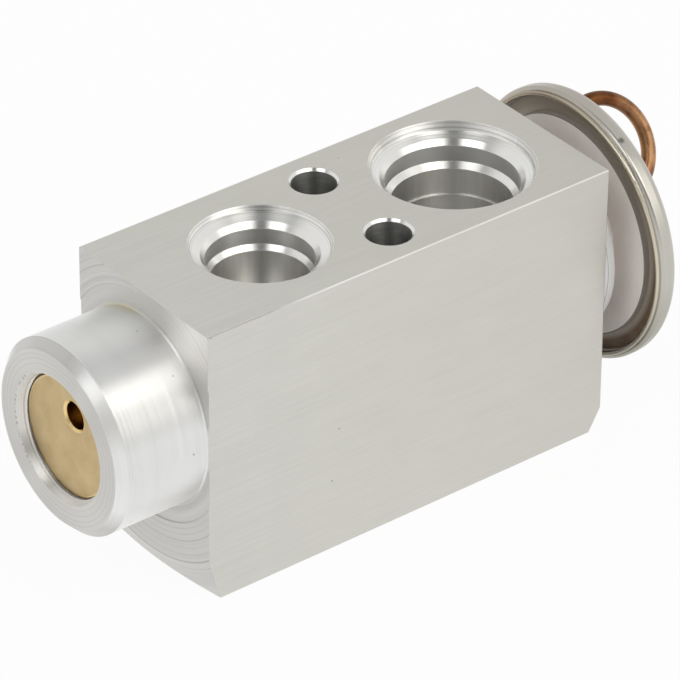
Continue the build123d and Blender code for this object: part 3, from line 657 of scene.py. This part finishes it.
def block_aluminium():
    """Machined bar: brushed long faces, turned ends and boss, formed ports.

    The highlight is drawn out across the tool marks, so the material works out which way they
    run: along the bar on its long faces, round the valve axis on the ends, round each port and
    bolt hole inside it.
    """
    material, g, shader, point = new_material("machined aluminium")
    zone = block_zones(g, point)
    end_marks = lathe_marks(g, zone.ends, COARSE_PITCH)
    lines = g.group(SCRATCHES, Point=point, Width=0.16 * MM, Length=12 * MM)
    fine = g.blend(zone.is_end, lines["Lines"], end_marks["Fine"])
    for mask, place in ((zone.in_liquid, zone.liquid), (zone.in_suction, zone.suction)):
        fine = g.blend(mask, fine, lathe_marks(g, place, PORT_PITCH)["Fine"])

    round_axis = g.vector("CROSS_PRODUCT", (1, 0, 0), g.vector("SUBTRACT", point, (0, 0, AXIS_Z)))
    along_marks = g.choose(zone.is_end, (1, 0, 0), round_axis)
    for mask, centre in ((zone.in_liquid, zone.liquid_centre),
                         (zone.in_suction, (SUCTION_X, 0, 0)), (zone.in_bolt, zone.bolt_centre)):
        round_hole = g.vector("CROSS_PRODUCT", (0, 0, 1), g.vector("SUBTRACT", point, centre))
        along_marks = g.choose(mask, along_marks, round_hole)
    g.put(shader["Tangent"], g.vector("CROSS_PRODUCT", zone.normal, along_marks))

    boss = g.mix(g.span(zone.facing_x, 0.75, 0.9), boss_side_colour(g, zone, end_marks),
                 boss_face_colour(g, zone, end_marks))
    end_colour = g.mix(zone.beyond, faced_colour(g, zone, end_marks), boss)
    # painted highlight on the outer edges of the end faces
    end_colour = g.mix(g.times(zone.burr, g.outside(zone.beyond)), end_colour, EDGE_HIGHLIGHT)
    colour = g.mix(zone.is_end, bar_colour(g, zone, lines), end_colour)
    colour = g.mix(zone.in_port, colour, port_colour(g, zone))
    pits = g.group(PITS, Point=point, Spacing=4.2 * MM, Size=0.21 * MM)["Mask"]
    colour = g.mix(g.times(pits, g.outside(zone.in_port), 0.65), colour, PIT)
    edge = g.group(EDGES, Width=EDGE_WIDTH)
    # painted highlight on the rounded edges, from the edge mask
    g.put(shader["Base Color"], g.mix(g.times(edge["Mask"], 0.6), colour, ROUNDED_EDGE_HIGHLIGHT))

    shader["Metallic"].default_value = 1.0
    shader["Anisotropic"].default_value = 0.92
    rough = g.blend(zone.is_end, 0.44, g.blend(zone.beyond, 0.55, 0.42))
    rough = g.blend(zone.in_port, rough, g.blend(zone.wall, 0.22, 0.42))
    g.put(shader["Roughness"], g.plus(rough, g.span(fine, 0.3, 0.7, -0.04, 0.04)))
    relief = g.blend(zone.in_port, g.blend(zone.is_end, 0.07, 0.14), 0.04)
    g.put(shader["Normal"], g.bump(fine, relief, edge["Normal"]))
    return material


# ---- the other materials ------------------------------------------------------------------
def turned_metal(name, colours, roughness, relief=0.12):
    """A metal turned about the valve axis; the colours are its light and its dark one."""
    material, g, shader, point = new_material(name)
    light, dark = colours
    marks = about_valve_axis(g, point, SMALL_PITCH)[1]
    edge = g.group(EDGES, Width=EDGE_WIDTH)
    # painted highlight on the rounded edges
    bright = [min(1.0, channel * 1.35) for channel in light]
    body = g.mix(marks["Broad"], dark, light)
    g.put(shader["Base Color"], g.mix(g.times(edge["Mask"], 0.6), body, bright))
    shader["Metallic"].default_value = 1.0
    g.put(shader["Roughness"], g.span(marks["Fine"], 0.3, 0.7, roughness - 0.06, roughness + 0.06))
    g.put(shader["Normal"], g.bump(marks["Fine"], relief, edge["Normal"]))
    return material


def plug_brass():
    """Turned brass, dulled by handling, with blots; freshly cut at its edge and key hole, with
    painted shade and glints inside the hole.
    """
    material, g, shader, point = new_material("plug brass")
    place, marks = about_valve_axis(g, point, COARSE_PITCH)
    stains = g.noise(point, 330.0, 4.0, 0.6)
    body = g.mix(stains, BRASS_DARK, BRASS_LIGHT)
    blots = g.group(PITS, Point=point, Spacing=2.6 * MM, Size=0.22 * MM)["Mask"]
    body = g.mix(g.times(blots, 0.45), body, BRASS_BLOT)
    corner = g.span(place["Radius"], PLUG_CORNER_RADIUS, PLUG_CORNER_RADIUS + 0.2 * MM)
    reach = polar(g, point, (0, KEY_HOLE[0], AXIS_Z + KEY_HOLE[1]))["Radius"]
    sink = g.span(reach, KEY_HOLE_RADIUS + 0.45 * MM, KEY_HOLE_RADIUS + 0.3 * MM)
    inside = g.span(reach, KEY_HOLE_RADIUS + 0.06 * MM, KEY_HOLE_RADIUS + 0.02 * MM)
    fresh = g.most(g.times(corner, 0.6), sink)
    # inside the key hole: painted shade mottled with painted glints
    cut = g.mix(inside, BRASS_FRESH, g.mix(stains, KEY_HOLE_SHADE, KEY_HOLE_GLINT))
    g.put(shader["Base Color"], g.mix(fresh, body, cut))
    shader["Metallic"].default_value = 1.0
    g.put(shader["Roughness"], g.blend(fresh, g.span(stains, 0.3, 0.7, 0.50, 0.40), 0.24))
    g.put(shader["Normal"], g.bump(marks["Fine"], 0.15))
    return material


def flange_steel():
    """Dull flat plate with a pinkish cast, with painted shade on its edge and a painted shadow in
    the seam where it meets the shell round it.
    """
    material, g, shader, point = new_material("dull flange steel")
    place, marks = about_valve_axis(g, point, COARSE_PITCH)
    patches = g.noise(point, 140.0, 4.0, 0.6)
    plate = g.mix(g.span(patches, 0.3, 0.7), FLANGE_DARK, FLANGE_LIGHT)
    specks = g.group(PITS, Point=point, Spacing=3 * MM, Size=0.14 * MM)["Mask"]
    plate = g.mix(g.times(specks, 0.5), plate, FLANGE_SPECK)
    # painted shadow in the seam and painted shade on the flange's edge
    seam_shadow = g.band(place["Radius"], FLANGE_RADIUS - 0.1 * MM, 0.16 * MM)
    wall = g.span(place["Radius"], FLANGE_RADIUS - 0.03 * MM, FLANGE_RADIUS - 0.01 * MM)
    plate = g.mix(wall, plate, FLANGE_EDGE_SHADE)
    g.put(shader["Base Color"], g.mix(seam_shadow, plate, FLANGE_SEAM_SHADOW))
    g.put(shader["Metallic"], g.span(patches, 0.3, 0.7, 0.10, 0.02))
    g.put(shader["Roughness"], g.span(marks["Fine"], 0.3, 0.7, 0.50, 0.60))
    g.put(shader["Normal"], g.bump(marks["Fine"], 0.08))
    return material


def shell_stainless():
    """Pressed stainless: clean on the rim's outside, with painted shade low down, warmer high on
    the far side, straw to brown in the channel, a brown tint on the lip's far side and a painted
    highlight on its near side, with one dark spot on the weld."""
    material, g, shader, point = new_material("heat-tinted stainless")
    place, marks = about_valve_axis(g, point, MEDIUM_PITCH)
    radius = place["Radius"]
    patches = g.noise(point, 120.0, 3.0, 0.6)
    y, z = g.split(point)[1:]
    front = g.span(place["Along"], CHANNEL_BACK, CHANNEL_BACK - 0.5 * MM)
    channel = g.times(g.span(radius, CHANNEL_RADIUS, CHANNEL_RADIUS - 0.25 * MM), front)

    steel = g.mix(marks["Broad"], SHELL_DARK, SHELL_LIGHT)
    warm = g.times(g.span(y, *SHELL_WARM_Y), g.span(z, *SHELL_WARM_Z, 0.0, 0.7))
    steel = g.mix(warm, steel, SHELL_WARM)
    olive = g.mix(patches, OLIVE_DARK, OLIVE_LIGHT)
    olive = g.mix(g.span(z, *OLIVE_TOP_Z, 0.0, 0.5), olive, OLIVE_TOP)
    steel = g.mix(channel, steel, olive)
    brown = g.times(g.span(radius, *BROWN_RADIUS), g.span(z, *BROWN_Z, 0.35, 1.0),
                    g.span(patches, 0.3, 0.6, 0.75, 1.0), channel, front)
    steel = g.mix(brown, steel, SHELL_BROWN)
    # the lip: brown tint on the far side, painted highlight on the near side
    near_side = g.span(y, *LIP_HIGHLIGHT_Y)
    lip = g.times(g.band(radius, LIP_RADIUS, LIP_HALF_WIDTH), front, g.blend(near_side, 0.85, 0.8))
    steel = g.mix(lip, steel, g.mix(near_side, LIP_FAR, LIP_HIGHLIGHT))
    # painted shade low down, outside the channel
    lower_shade = g.times(g.span(z, *SHELL_SHADE_Z, 0.0, 0.9), g.outside(channel))
    steel = g.mix(lower_shade, steel, SHELL_LOW_SHADE)
    gap = g.plus(g.vector("DISTANCE", point, WELD_MARK), g.times(patches, 0.4 * MM))
    spot = g.span(gap, *WELD_MARK_REACH, 0.0, 0.75)

    g.put(shader["Base Color"], g.mix(spot, steel, WELD_DARK))
    g.put(shader["Metallic"], g.blend(channel, 1.0, 0.35))
    g.put(shader["Roughness"], g.plus(g.span(patches, 0.3, 0.7, 0.24, 0.34),
                                      g.times(channel, 0.18)))
    g.put(shader["Normal"], g.bump(marks["Fine"], 0.10))
    return material


def tube_copper():
    """Drawn copper, browned by the brazing heat, lighter and mottled with painted highlights far
    from it.
    """
    material, g, shader, point = new_material("browned copper")
    patches = g.noise(point, 420.0, 4.0, 0.6)
    x = g.split(point)[0]
    body = g.mix(g.span(patches, 0.3, 0.7), COPPER_DARK, COPPER_BROWN)
    # lighter copper far from the head, mottled with painted highlights
    rubbed = g.times(g.span(x, *COPPER_SHEEN_X, 0.0, 0.9), g.span(patches, 0.35, 0.65, 0.4, 1.0))
    g.put(shader["Base Color"], g.mix(rubbed, body, COPPER_CLEAN_SHEEN))
    shader["Metallic"].default_value = 1.0
    g.put(shader["Roughness"], g.span(patches, 0.3, 0.7, 0.26, 0.40))
    g.put(shader["Normal"], g.bump(g.noise(point, 1500.0, 2.0), 0.25, distance=0.04 * MM))
    return material


def seal_rubber():
    """Matt black moulded rubber with a faint grain."""
    material, g, shader, point = new_material("moulded rubber")
    grain = g.noise(point, 3000.0, 3.0)
    g.put(shader["Base Color"], g.mix(grain, RUBBER_DARK, RUBBER_LIGHT))
    g.put(shader["Roughness"], g.span(grain, 0.3, 0.7, 0.5, 0.65))
    g.put(shader["Normal"], g.bump(grain, 0.2, distance=0.02 * MM))
    return material


def dress_solids():
    aluminium = block_aluminium()
    give(aluminium, "valve_body")
    mouth_thread(aluminium)
    give(plug_brass(), "adjusting_screw", "orifice_seat")
    give(flange_steel(), "head_neck")
    give(shell_stainless(), "head_lower_shell", "head_upper_shell")
    give(turned_metal("turned steel", TURNED_STEEL, 0.32),
         "push_rod", "ball_carrier", "thrust_pad", "rod_seal_washer")
    give(turned_metal("spring steel", SPRING_STEEL, 0.3),
         "superheat_spring", "damper_spring", "rod_seal_retainer")
    give(turned_metal("polished ball steel", BALL_STEEL, 0.12, relief=0.0), "valve_ball")
    give(turned_metal("rolled stainless", ROLLED_STAINLESS, 0.25), "diaphragm")
    give(tube_copper(), "charge_tube")
    give(turned_metal("brazed brass", BRAZED_BRASS, 0.35), "tube_ferrule")
    give(seal_rubber(), "adjusting_screw_seal", "rod_seal", "head_seal")


# ---- fine piece ---------------------------------------------------------------------------
def surface_piece(name, rings, material, body):
    """A closed tube of quads from rings[i, j]: i runs along it, j round its closed section."""
    count, sides = rings.shape[:2]
    index = np.arange(count * sides).reshape(count, sides)
    ahead = np.roll(index, -1, axis=1)
    quads = np.stack([index[:-1], ahead[:-1], ahead[1:], index[1:]], axis=-1).reshape(-1, 4)
    caps = [index[0, ::-1].tolist(), index[-1].tolist()]
    mesh = bpy.data.meshes.new(name)
    mesh.from_pydata(rings.reshape(-1, 3).tolist(), [], quads.tolist() + caps)
    mesh.materials.append(material)
    piece = place_object(name, mesh)
    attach(piece, body)


def mouth_thread(material):
    """The turn of thread that shows in the boss mouth.

    Formula: the section is a triangle with a rounded crest, its base on the root radius and its
    crest towards the axis. It is carried along a helix, x growing by one pitch for each turn,
    its root follows the mouth's chamfer, and its height fades to almost nothing at both ends
    like a run-out.
    """
    turn = np.linspace(0, THREAD_TURNS, THREAD_STEPS)[:, None]
    fade = np.clip(np.minimum(turn, THREAD_TURNS - turn) / THREAD_RUN_OUT, 0.04, 1.0)
    section_x = np.array([1.0, 0.25, 0.0, -0.25, -1.0, 0.0]) * THREAD_HALF_WIDTH
    section_rise = np.array([0.0, 0.85, 1.0, 0.85, 0.0, -0.15])
    height = THREAD_ROOT_RADIUS - THREAD_CREST_RADIUS
    angle = 2 * pi * (turn + THREAD_FIRST_TURN)
    along = THREAD_START + THREAD_PITCH * turn + section_x
    root = THREAD_ROOT_RADIUS + MOUTH_CHAMFER_SLOPE * np.maximum(0, MOUTH_CHAMFER_END - along)
    radius = root - section_rise * height * fade
    rings = np.stack([along, radius * np.cos(angle), AXIS_Z + radius * np.sin(angle)], axis=-1)
    surface_piece("boss_mouth_thread", rings, material, "valve_block")


# ---- stage --------------------------------------------------------------------------------
def mix_shaders(g, factor, first, second, output_kind):
    """Puts a mix of two shaders on the output: the second shows where the factor is 1."""
    mixer = g.add("ShaderNodeMixShader")
    g.put(mixer.inputs[0], factor)
    g.put(mixer.inputs[1], first.outputs[0])
    g.put(mixer.inputs[2], second.outputs[0])
    g.put(g.add(output_kind).inputs["Surface"], mixer.outputs[0])


def floor():
    """A wide pale sheet under the block: white to the eye, and still keeping a faint shadow."""
    material = bpy.data.materials.new("pale floor")
    material.use_nodes = True
    material.node_tree.nodes.clear()
    g = Graph(material.node_tree)
    diffuse = g.add("ShaderNodeBsdfDiffuse")
    g.put(diffuse.inputs["Color"], FLOOR_WHITE)
    path = g.add("ShaderNodeLightPath").outputs
    seen = g.most(path["Is Camera Ray"], path["Is Glossy Ray"], path["Is Transmission Ray"])
    mix_shaders(g, g.times(seen, FLOOR_GLOW), diffuse, g.add("ShaderNodeEmission"),
                "ShaderNodeOutputMaterial")
    half = FLOOR_HALF_WIDTH
    mesh = bpy.data.meshes.new("floor")
    corners = [(-half, -half, 0), (half, -half, 0), (half, half, 0), (-half, half, 0)]
    mesh.from_pydata(corners, [], [(0, 1, 2, 3)])
    mesh.materials.append(material)
    piece = place_object("floor", mesh)


def view_direction(azimuth, elevation):
    """Unit vector from the object towards a viewer at that azimuth and elevation, in radians."""
    return Vector((np.sin(azimuth) * np.cos(elevation), -np.cos(azimuth) * np.cos(elevation),
                   np.sin(elevation)))


def studio():
    """Pale room that darkens upwards and high up on the camera's side, plus the bright patches.

    The camera sees plain white behind the object; metal sees the room.
    """
    world = bpy.data.worlds.new("studio")
    bpy.context.scene.world = world
    world.use_nodes = True
    world.node_tree.nodes.clear()
    g = Graph(world.node_tree)
    direction = g.add("ShaderNodeTexCoord").outputs["Generated"]

    def near(turn, elevation, inner, outer):
        """1 within the inner radius of a place in the room, 0 past the outer one."""
        place = view_direction(CAMERA_AZIMUTH + radians(turn), radians(elevation))
        likeness = g.vector("DOT_PRODUCT", direction, place)
        return g.span(likeness, np.cos(radians(outer)), np.cos(radians(inner)), smooth=True)

    level = g.span(g.split(direction)[2], 0.1, 1.0, ROOM_LEVEL, ROOM_OVERHEAD)
    level = g.blend(near(0, SHADE_ELEVATION, SHADE_INNER, SHADE_OUTER), level, ROOM_SHADE)
    light = g.join(level, level, g.times(level, ROOM_BLUE))
    for turn, elevation, inner, outer, strength, colour in PATCHES:
        patch = g.times(near(turn, elevation, inner, outer), strength)
        light = g.vector("ADD", light, g.join(*(g.times(patch, channel) for channel in colour)))
    room = g.add("ShaderNodeBackground")
    g.put(room.inputs["Color"], light)
    white = g.add("ShaderNodeBackground")
    g.put(white.inputs["Color"], CLEAR_WHITE)
    camera_ray = g.add("ShaderNodeLightPath").outputs["Is Camera Ray"]
    mix_shaders(g, camera_ray, room, white, "ShaderNodeOutputWorld")


def camera():
    """Stands CAMERA_DISTANCE behind AIM along the view direction, turned by its roll."""
    back = view_direction(CAMERA_AZIMUTH, CAMERA_ELEVATION)
    right = Vector((np.cos(CAMERA_AZIMUTH), np.sin(CAMERA_AZIMUTH), 0))
    up = back.cross(right)
    across = right * np.cos(CAMERA_ROLL) + up * np.sin(CAMERA_ROLL)
    upward = up * np.cos(CAMERA_ROLL) - right * np.sin(CAMERA_ROLL)
    data = bpy.data.cameras.new("camera")
    data.lens = LENS
    data.sensor_width = SENSOR
    data.shift_x = SHIFT_X
    data.shift_y = SHIFT_Y
    data.clip_end = FAR_CLIP
    holder = place_object("camera", data)
    turn = Matrix((across, upward, back)).transposed().to_4x4()
    holder.matrix_world = Matrix.Translation(AIM + back * CAMERA_DISTANCE) @ turn
    bpy.context.scene.camera = holder


bpy.context.scene.view_settings.view_transform = "Standard"
camera()
studio()
floor()
dress_solids()
